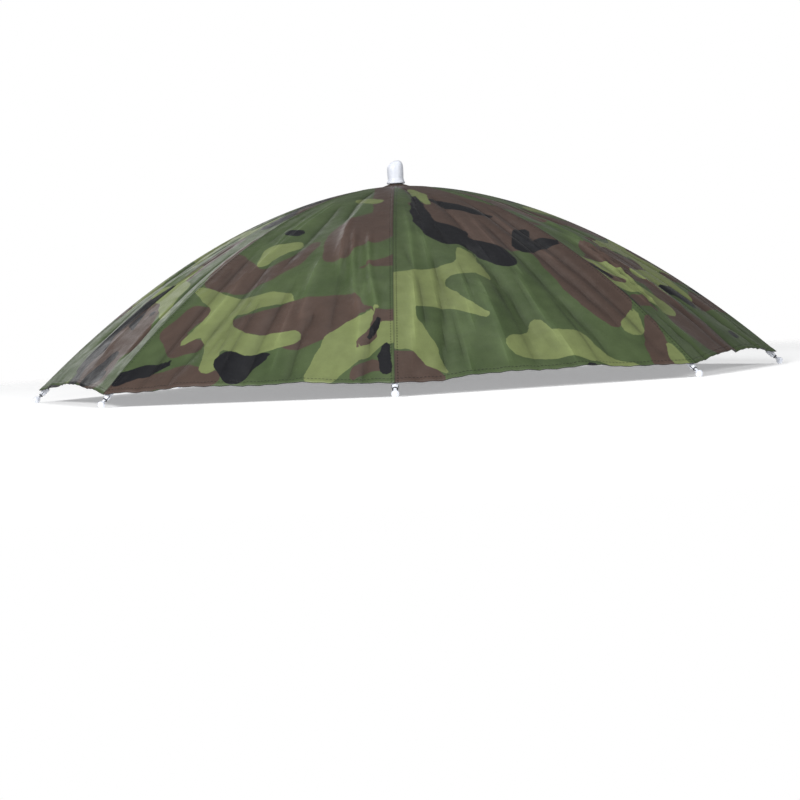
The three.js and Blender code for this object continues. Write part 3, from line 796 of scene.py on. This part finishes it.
def repeatRound(bm, turn=0):
    # turns what is there to the front rib and copies it to the other seven
    bmesh.ops.rotate(bm, verts=bm.verts, matrix=Matrix.Rotation(turn, 3, "Z"))
    first = bm.verts[:] + bm.edges[:] + bm.faces[:]
    for n in range(1, goreCount):
        copied = bmesh.ops.duplicate(bm, geom=first)["geom"]
        bmesh.ops.rotate(bm, verts=[g for g in copied if isinstance(g, bmesh.types.BMVert)],
                         matrix=Matrix.Rotation(n * goreAngle, 3, "Z"))


tip = {   # mm along the rib's end and past it
    "profile": ((0, .3), (1.6, .3), (1.645, -6.9), (1.8, -7.05), (2.3, -7), (2.445, -6.75), (2.445, -.6),
                (2.3, .1), (1.7, 1.0), (1.42, 1.9), (1.36, 2.9), (1.42, 4.3), (1.75, 5.1), (2.45, 5.9),
                (2.95, 6.6), (3.1, 7.3), (2.98, 8.1), (2.55, 8.95), (1.8, 9.7), (.95, 10.12), (0, 10.25)),
    "steps": 20, "eye": (2.9, 4.3), "dip": 42.4,   # degrees below level
    "ballRadius": 3.1, "ballPlace": 7.1,
}
thread = {   # mm: wound round the tip's neck, drawn through its eye and tied to the hem at both sides
    "radius": .28, "neck": 1.62, "windings": 3, "windingStart": 1.5, "windingRise": .9, "windingSteps": 36,
    "through": ((-1.9, 3.885), (-1.2, 3.78), (0, 3.6), (1.2, 3.78), (1.9, 3.885)),
    "tie": ((1.9, 3.9), (2.1, 2), (2.5, 0), (2.5, -2.2)),
}


def strand(bm, points, radius, sides=6):
    # a thin round strand through points in metres
    rim = None
    for i, point in enumerate(points):
        ahead = (points[min(i + 1, len(points) - 1)] - points[max(i - 1, 0)]).normalized()
        turned = Matrix.Translation(point) @ ahead.to_track_quat("Z", "Y").to_matrix().to_4x4()
        ring = bmesh.ops.create_circle(bm, cap_ends=i in (0, len(points) - 1), radius=radius, segments=sides,
                                       matrix=turned)["verts"]
        edges = list(dict.fromkeys(e for v in ring for e in v.link_edges if e.other_vert(v) in ring))
        if rim:
            bmesh.ops.bridge_loops(bm, edges=rim + edges)
        rim = edges


def tipPlace():
    # where a rib's end lies and which way it points, from the frame's front tip
    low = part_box("rib_tip_1")[0]
    dip = math.radians(tip["dip"])
    axis = Vector((0, -math.cos(dip), -math.sin(dip)))
    ball = Vector((0, low.y + tip["ballRadius"] * mm, low.z + tip["ballRadius"] * mm))
    return ball - axis * tip["ballPlace"] * mm, axis


def rimOf(faces):
    # the edges round a patch of faces
    edges = dict.fromkeys(edge for face in faces for edge in face.edges)
    return [edge for edge in edges if sum(face in faces for face in edge.link_faces) == 1]


def cutEye(bm):
    # opens the neck at both sides and joins the two openings through it
    low, high = (h * mm for h in tip["eye"])
    sides = ([], [])
    for face in bm.faces:
        middle = face.calc_center_median()
        if low < middle.z < high and abs(middle.y) > 3 * abs(middle.x):
            sides[middle.y > 0].append(face)
    rims = [rimOf(side) for side in sides]
    bmesh.ops.delete(bm, geom=sides[0] + sides[1], context="FACES")
    bmesh.ops.bridge_loops(bm, edges=rims[0] + rims[1])
    bmesh.ops.recalc_face_normals(bm, faces=bm.faces)


def sewTip(bm):
    winding = []
    for i in range(thread["windingSteps"] + 1):
        share = i / thread["windingSteps"]
        angle = 2 * math.pi * thread["windings"] * share
        height = thread["windingStart"] + thread["windingRise"] * share
        winding.append((math.cos(angle) * thread["neck"], math.sin(angle) * thread["neck"], height))
    strands = [winding, [(0, y, z) for y, z in thread["through"]]]
    strands += [[(0, side * y, z) for y, z in thread["tie"]] for side in (-1, 1)]
    for points in strands:
        strand(bm, [Vector(point) * mm for point in points], thread["radius"] * mm)


def makeTips():
    end, axis = tipPlace()
    bm = bmesh.new()
    spinProfile(bm, tip["profile"], tip["steps"])
    cutEye(bm)
    plasticFaces = len(bm.faces)
    sewTip(bm)
    for i, face in enumerate(bm.faces):
        face.material_index = int(i >= plasticFaces)
    turned = Matrix.Translation(end) @ axis.to_track_quat("Z", "X").to_matrix().to_4x4()
    bmesh.ops.transform(bm, matrix=turned, verts=bm.verts)
    repeatRound(bm)
    tips = makeObject("rib_tips", bm, [whitePlastic, threadMaterial], sharpAngle=50)
    standFor(tips, eightOf("rib_tip"))


makeTips()

cap = {   # mm, as in the frame
    "radius": 7.3, "height": 21, "lean": 2.3, "bore": 4.3, "boreDepth": 15, "chamfer": .2,
    "shoulder": .64,   # the dome starts at this share of the height
    # shares of the radius and of the height
    "skirt": ((1.08, 0), (1.13, .015), (1.14, .045), (1.09, .09), (1.03, .13), (.985, .19), (.98, .24),
              (1, .43), (1, .64)),
    "steps": 48, "domeSteps": 12,
}


def makeCap():
    bore, depth, chamfer = cap["bore"], cap["boreDepth"], cap["chamfer"]
    profile = [(0, depth), (bore, depth), (bore, chamfer), (bore + chamfer, 0)]
    profile += [(r * cap["radius"], h * cap["height"]) for r, h in cap["skirt"]]
    shoulder = cap["shoulder"] * cap["height"]
    for i in range(1, cap["domeSteps"] + 1):
        angle = math.pi / 2 * i / cap["domeSteps"]
        r = cap["radius"] * math.cos(angle) if i < cap["domeSteps"] else 0
        profile.append((r, shoulder + (cap["height"] - shoulder) * math.sin(angle)))
    bm = bmesh.new()
    spinProfile(bm, profile, cap["steps"])
    # the dome leans to one side, and the bore stays straight
    for vertex in bm.verts:
        share = max(0, (vertex.co.z / mm - shoulder) / (cap["height"] - shoulder))
        fromAxis = math.hypot(vertex.co.x, vertex.co.y) / mm
        if fromAxis > bore + chamfer / 2 or vertex.co.z / mm > depth + chamfer:
            vertex.co.x += cap["lean"] * share ** 2 * mm
    bmesh.ops.translate(bm, verts=bm.verts, vec=(0, 0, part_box("top_cap")[0].z))
    piece = makeObject("crown_cap", bm, [whitePlastic], sharpAngle=60)
    standFor(piece, ["top_cap"])


makeCap()
print("rib tips and cap made")

# black parts: ribs, stretchers, clips
steel = {"black": "#101113", "worn": "#2a2b2e"}


def makeEnamel():
    # Enamelled spring steel, dipped: satin black that pools smooth, slightly worn to grey
    material, tree, shader = startMaterial("blackEnamelledSteel", Roughness=.34, IOR=1.5, Coat_Weight=.3,
                                           Coat_Roughness=.2)
    place = addNode(tree, "TexCoord").outputs["Object"]
    rub = addNode(tree, "TexNoise", {"Vector": place, "Scale": 180, "Detail": 4})   # 6 mm rubs
    share = addNode(tree, "MapRange", (rub, .5, .75, 0, 1), **smoothly)
    tones = {0: share, 6: linear(steel["black"]), 7: linear(steel["worn"])}
    colour = addNode(tree, "Mix", tones, data_type="RGBA").outputs[2]
    gloss = addNode(tree, "MapRange", (rub, .3, .7, .28, .42), **smoothly)
    fillShader(tree, shader, Base_Color=colour, Roughness=gloss)
    return material


def makeBlackNylon():
    # Injection-moulded black nylon: matt with a fine spark texture
    material, tree, shader = startMaterial("blackMouldedNylon", Roughness=.5, IOR=1.53)
    place = addNode(tree, "TexCoord").outputs["Object"]
    spark = addNode(tree, "TexNoise", {"Vector": place, "Scale": 1400, "Detail": 2})   # 0.7 mm
    tones = {0: spark, 6: linear("#111112"), 7: linear("#1e1e20")}
    colour = addNode(tree, "Mix", tones, data_type="RGBA").outputs[2]
    bump = addNode(tree, "Bump", {"Height": spark, "Strength": .3, "Distance": .0001})
    fillShader(tree, shader, Base_Color=colour, Normal=bump)
    return material


band = {   # mm; the stretchers and clips are placed from it too
    "inside": 82, "thickness": 2, "steps": 160,
    "ribs": 16, "ribPoints": 4, "ribDepth": .22,   # cords that run round it
    "selvedge": 1, "corner": ((.5, 0), (.15, .3)),   # in from the face, in from the edge
    "colour": "#0d0d0f", "raised": "#1b1b1e",
    "threadPitch": 1.3,   # real elastic has rows 0.8 mm apart
}
rib = {   # mm, as in the frame; a channel of steel, open below, squeezed at its end to go into the tip
    "width": 3.2, "height": 2.6, "steel": .7, "round": .45, "start": 6.93, "gap": .3, "rows": 44,
    "pinWidth": 2, "pinHeight": 1.8, "taperStart": 325.2, "pinStart": 329.6, "tipDip": 40, "endSink": .8,
}
stretcher = {   # mm, as in the frame
    "seatRadius": 150, "rod": 1.2, "rodSides": 12, "bend": 7, "bendSteps": 8, "saddleLength": 8,
    "saddleWall": .9, "edge": .2,
    "rivet": ((0, .55), (.5, .5), (.95, .3), (1.15, 0), (1.15, -.3), (0, -.3)), "rivetSteps": 12,
}
clip = {   # mm, as in the frame
    "width": 12, "wall": 1.3, "grip": 9, "head": 8, "shoulder": 2.6, "topWidth": 5.6, "topSlope": .5,
    "edge": .4,
    "ridges": (-7, -5.2, -3.4), "ridgeWidth": 8, "ridgeHeight": .7, "ridgeDepth": .3, "ridgeEdge": .12,
    # a collar on the top, which the rod goes through
    "collar": .8, "collarSink": 1, "collarInset": .1, "collarRound": .4, "collarLip": .2, "collarSteps": 24,
}
ridgeSlope = math.tan(goreAngle / 2)   # the two gores over a rib meet in a ridge this steep


def ridgeFall(r):
    return ridgeSlope * math.sin(math.atan(seamFall(r)))


def besideRib(r, across, up):
    # a point beside a rib's centre line: across it, and up towards the cloth
    angle = math.atan(seamFall(r))
    top = canopy["panelWall"] + rib["gap"] + rib["width"] / 2 * ridgeFall(r)
    sunk = smoothRise(r, canopy["cornerRadius"] - rib["tipDip"], rib["pinStart"])
    depth = top + rib["height"] / 2 + rib["endSink"] * sunk - up
    return Vector((r - depth * math.sin(angle), across, seamHeight(r) + lift - depth * math.cos(angle))) * mm


def drawOut(bm, face, points):
    # starts a solid with a face, or extrudes the last face to the next section and drops the one left inside
    if face is None:
        return bm.faces.new([bm.verts.new(p) for p in points])
    inside = [face] if any(len(edge.link_faces) > 1 for edge in face.edges) else []
    drawn = bmesh.ops.extrude_face_region(bm, geom=[face])["geom"]
    bmesh.ops.delete(bm, geom=inside, context="FACES_ONLY")
    face = next(g for g in drawn if isinstance(g, bmesh.types.BMFace))
    for vertex, point in zip(face.verts, points):
        vertex.co = point
    return face


def roundEdges(bm, width):
    bmesh.ops.bevel(bm, geom=bm.edges[:], offset=width * mm, offset_type="OFFSET", segments=2, profile=.5,
                    affect="EDGES", material=-1)


def joinInto(bm, other):
    mesh = bpy.data.meshes.new("part")
    other.to_mesh(mesh)
    other.free()
    bm.from_mesh(mesh)
    bpy.data.meshes.remove(mesh)


def finishEight(bm, name, material, nodes):
    repeatRound(bm, frontAzimuth)
    bmesh.ops.recalc_face_normals(bm, faces=bm.faces)
    piece = makeObject(name, bm, [material], sharpAngle=40)
    standFor(piece, nodes)


def makeRibs(material):
    even = np.linspace(rib["start"], rib["taperStart"], rib["rows"])
    rows = [(r, rib["width"], rib["height"]) for r in even]
    rows += [(r, rib["pinWidth"], rib["pinHeight"]) for r in (rib["pinStart"], canopy["cornerRadius"])]
    edge, shave = rib["round"], .3 * rib["round"]   # a rounded corner's middle point is shaved by this much
    bm, face = bmesh.new(), None
    for r, width, height in rows:
        side, top = width / 2, height / 2
        steel = min(rib["steel"], width / 3, height / 2)
        outer = [(side, -top), (side, top - edge), (side - shave, top - shave), (side - edge, top)]
        inner = [(steel - side, -top), (steel - side, top - steel)]
        section = outer + [(-x, z) for x, z in outer[::-1]] + inner + [(-x, z) for x, z in inner[::-1]]
        face = drawOut(bm, face, [besideRib(r, x, z) for x, z in section])
    finishEight(bm, "steel_ribs", material, eightOf("rib"))


def makeStretchers(material):
    r = stretcher["seatRadius"]
    bandTop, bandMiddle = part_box("headband")[1].z / mm, band["inside"] + band["thickness"] / 2
    clipTop = bandTop + rib["gap"] + clip["head"]
    tilt = Matrix.Rotation(math.atan(seamFall(r)), 4, "Y")
    inside = rib["width"] / 2 + rib["gap"]
    outside = inside + stretcher["saddleWall"]
    earTop = rib["height"] / 2 - outside * ridgeFall(r)
    floor = -rib["height"] / 2 - rib["gap"]
    rodHeight = floor - stretcher["rod"]
    half = [(outside, rodHeight - stretcher["rod"]), (outside, earTop), (inside, earTop), (inside, floor)]
    bm, face = bmesh.new(), None
    for x in (-stretcher["saddleLength"] / 2, stretcher["saddleLength"] / 2):
        section = half + [(-y, z) for y, z in half[::-1]]
        face = drawOut(bm, face, [Vector((x, y, z)) * mm for y, z in section])
    roundEdges(bm, stretcher["edge"])
    for side in (-1, 1):
        head = bmesh.new()
        spinProfile(head, stretcher["rivet"], stretcher["rivetSteps"])
        outwards = Matrix.Rotation(-side * math.pi / 2, 4, "X")
        moved = Matrix.Translation(Vector((0, side * outside, rodHeight)) * mm)
        bmesh.ops.transform(head, matrix=moved @ outwards, verts=head.verts)
        joinInto(bm, head)
    bmesh.ops.transform(bm, matrix=Matrix.Translation(besideRib(r, 0, 0)) @ tilt, verts=bm.verts)
    start = besideRib(r, 0, rodHeight)
    corner = Vector((bandMiddle, 0, clipTop + stretcher["bend"])) * mm
    bendStart = corner + (start - corner).normalized() * stretcher["bend"] * mm
    bendEnd = Vector((bandMiddle, 0, clipTop)) * mm
    steps = [i / stretcher["bendSteps"] for i in range(stretcher["bendSteps"] + 1)]
    bend = [(1 - s) ** 2 * bendStart + 2 * s * (1 - s) * corner + s * s * bendEnd for s in steps]
    end = bendEnd - Vector((0, 0, clip["head"] - clip["wall"] - rib["gap"])) * mm
    strand(bm, [start, *bend, end], stretcher["rod"] * mm, stretcher["rodSides"])
    finishEight(bm, "steel_stretchers", material, eightOf("stretcher"))


def makeClips(material):
    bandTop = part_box("headband")[1].z / mm
    sag = band["inside"] - math.sqrt(band["inside"] ** 2 - (clip["width"] / 2) ** 2)
    slotIn, slotOut = band["inside"] - sag - rib["gap"], band["inside"] + band["thickness"] + rib["gap"]
    inner, outer = slotIn - clip["wall"], slotOut + clip["wall"]
    low, roof = bandTop - clip["grip"], bandTop + rib["gap"]
    shoulder, top = roof + clip["shoulder"], roof + clip["head"] - clip["collar"]
    slope, narrow = clip["topSlope"], clip["topWidth"] / clip["width"]
    # section across the band: x, z and how wide the clip is there
    section = [(outer, low, 1), (outer, shoulder, 1), (outer - slope, top, narrow),
               (inner + slope, top, narrow), (inner, shoulder, 1), (inner, low, 1), (slotIn, low, 1),
               (slotIn, roof, 1), (slotOut, roof, 1), (slotOut, low, 1)]
    bm, face = bmesh.new(), None
    for side in (-1, 1):
        edge = side * clip["width"] / 2
        face = drawOut(bm, face, [Vector((x, edge * wide, z)) * mm for x, z, wide in section])
    roundEdges(bm, clip["edge"])
    for height in clip["ridges"]:
        grip = bmesh.new()
        bmesh.ops.create_cube(grip, size=1)
        size = Vector((2 * clip["ridgeDepth"], clip["ridgeWidth"], clip["ridgeHeight"]))
        bmesh.ops.scale(grip, verts=grip.verts, vec=size * mm)
        roundEdges(grip, clip["ridgeEdge"])
        bmesh.ops.translate(grip, verts=grip.verts, vec=Vector((outer, 0, bandTop + height)) * mm)
        joinInto(bm, grip)
    bore, wide = stretcher["rod"] + rib["gap"], (outer - inner) / 2 - slope - clip["collarInset"]
    sink, high, soft, lip = clip["collarSink"], clip["collar"], clip["collarRound"], clip["collarLip"]
    collar = bmesh.new()
    spinProfile(collar, ((bore, -sink), (wide, -sink), (wide, high - soft), (wide - soft, high),
                         (bore + lip, high), (bore, high - lip)), clip["collarSteps"], closed=True)
    middle = Vector((band["inside"] + band["thickness"] / 2, 0, top)) * mm
    bmesh.ops.translate(collar, verts=collar.verts, vec=middle)
    joinInto(bm, collar)
    finishEight(bm, "band_clips", material, eightOf("band_clip"))


hub = {"edge": .3}   # mm


def makeHub():
    # the frame's own solid, merged and with its edges rounded
    bm = bmesh.new()
    bm.from_mesh(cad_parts["hub"].data)
    bmesh.ops.remove_doubles(bm, verts=bm.verts, dist=mergeDistance)
    bmesh.ops.dissolve_limit(bm, angle_limit=math.radians(1), verts=bm.verts, edges=bm.edges)
    bmesh.ops.recalc_face_normals(bm, faces=bm.faces)
    piece = makeObject("crown_hub", bm, [whitePlastic], sharpAngle=40)
    addModifier(piece, "BEVEL", width=hub["edge"] * mm, segments=2, limit_method="ANGLE",
                angle_limit=math.radians(40), harden_normals=True)
    standFor(piece, ["hub"])


enamel = makeEnamel()
makeRibs(enamel)
makeStretchers(enamel)
makeClips(makeBlackNylon())
makeHub()
print("ribs, stretchers, clips and hub finished")


# headband
def makeElastic():
    # Woven elastic webbing: matt black polyester over rubber cords, crossed by fine rows
    material, tree, shader = startMaterial("elasticWebbing", Roughness=.82, Sheen_Weight=.25,
                                           Sheen_Roughness=.5)
    place = addNode(tree, "TexCoord").outputs["Object"]
    axes = addNode(tree, "SeparateXYZ", (place,)).outputs
    bearing = addNode(tree, "Math", (axes["Y"], axes["X"]), operation="ARCTAN2")
    around = round(2 * math.pi * band["inside"] / band["threadPitch"])
    rows = addNode(tree, "Math", (bearing, around), operation="MULTIPLY")
    rows = addNode(tree, "Math", (rows,), operation="SINE")
    rows = addNode(tree, "MapRange", (rows, -1, 1, 0, 1), **smoothly)
    fuzz = addNode(tree, "TexNoise", {"Vector": place, "Scale": 1500, "Detail": 2})   # 0.7 mm
    share = addNode(tree, "Math", (rows, fuzz), operation="MULTIPLY")
    tones = {0: share, 6: linear(band["colour"]), 7: linear(band["raised"])}
    colour = addNode(tree, "Mix", tones, data_type="RGBA").outputs[2]
    bump = addNode(tree, "Bump", {"Height": rows, "Strength": .5, "Distance": .0002})
    fillShader(tree, shader, Base_Color=colour, Normal=bump)
    return material


def bandProfile(bottom, top):
    # a closed section: scalloped on both faces, with a flat selvedge at each edge
    count = band["ribs"] * band["ribPoints"]
    start, length = bottom + band["selvedge"], top - bottom - 2 * band["selvedge"]
    half = [(inset, bottom + up) for inset, up in band["corner"]]
    for i in range(count + 1):
        swell = .5 - .5 * math.cos(2 * math.pi * i / band["ribPoints"])
        half.append((band["ribDepth"] * (1 - swell), start + length * i / count))
    half += [(inset, top - up) for inset, up in band["corner"][::-1]]
    outside = band["inside"] + band["thickness"]
    return [(outside - x, z) for x, z in half] + [(band["inside"] + x, z) for x, z in half[::-1]]


def makeBand():
    low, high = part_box("headband")
    bm = bmesh.new()
    spinProfile(bm, bandProfile(low.z / mm, high.z / mm), band["steps"], closed=True)
    piece = makeObject("elastic_band", bm, [makeElastic()], sharpAngle=60)
    standFor(piece, ["headband"])


makeBand()
print("headband made")
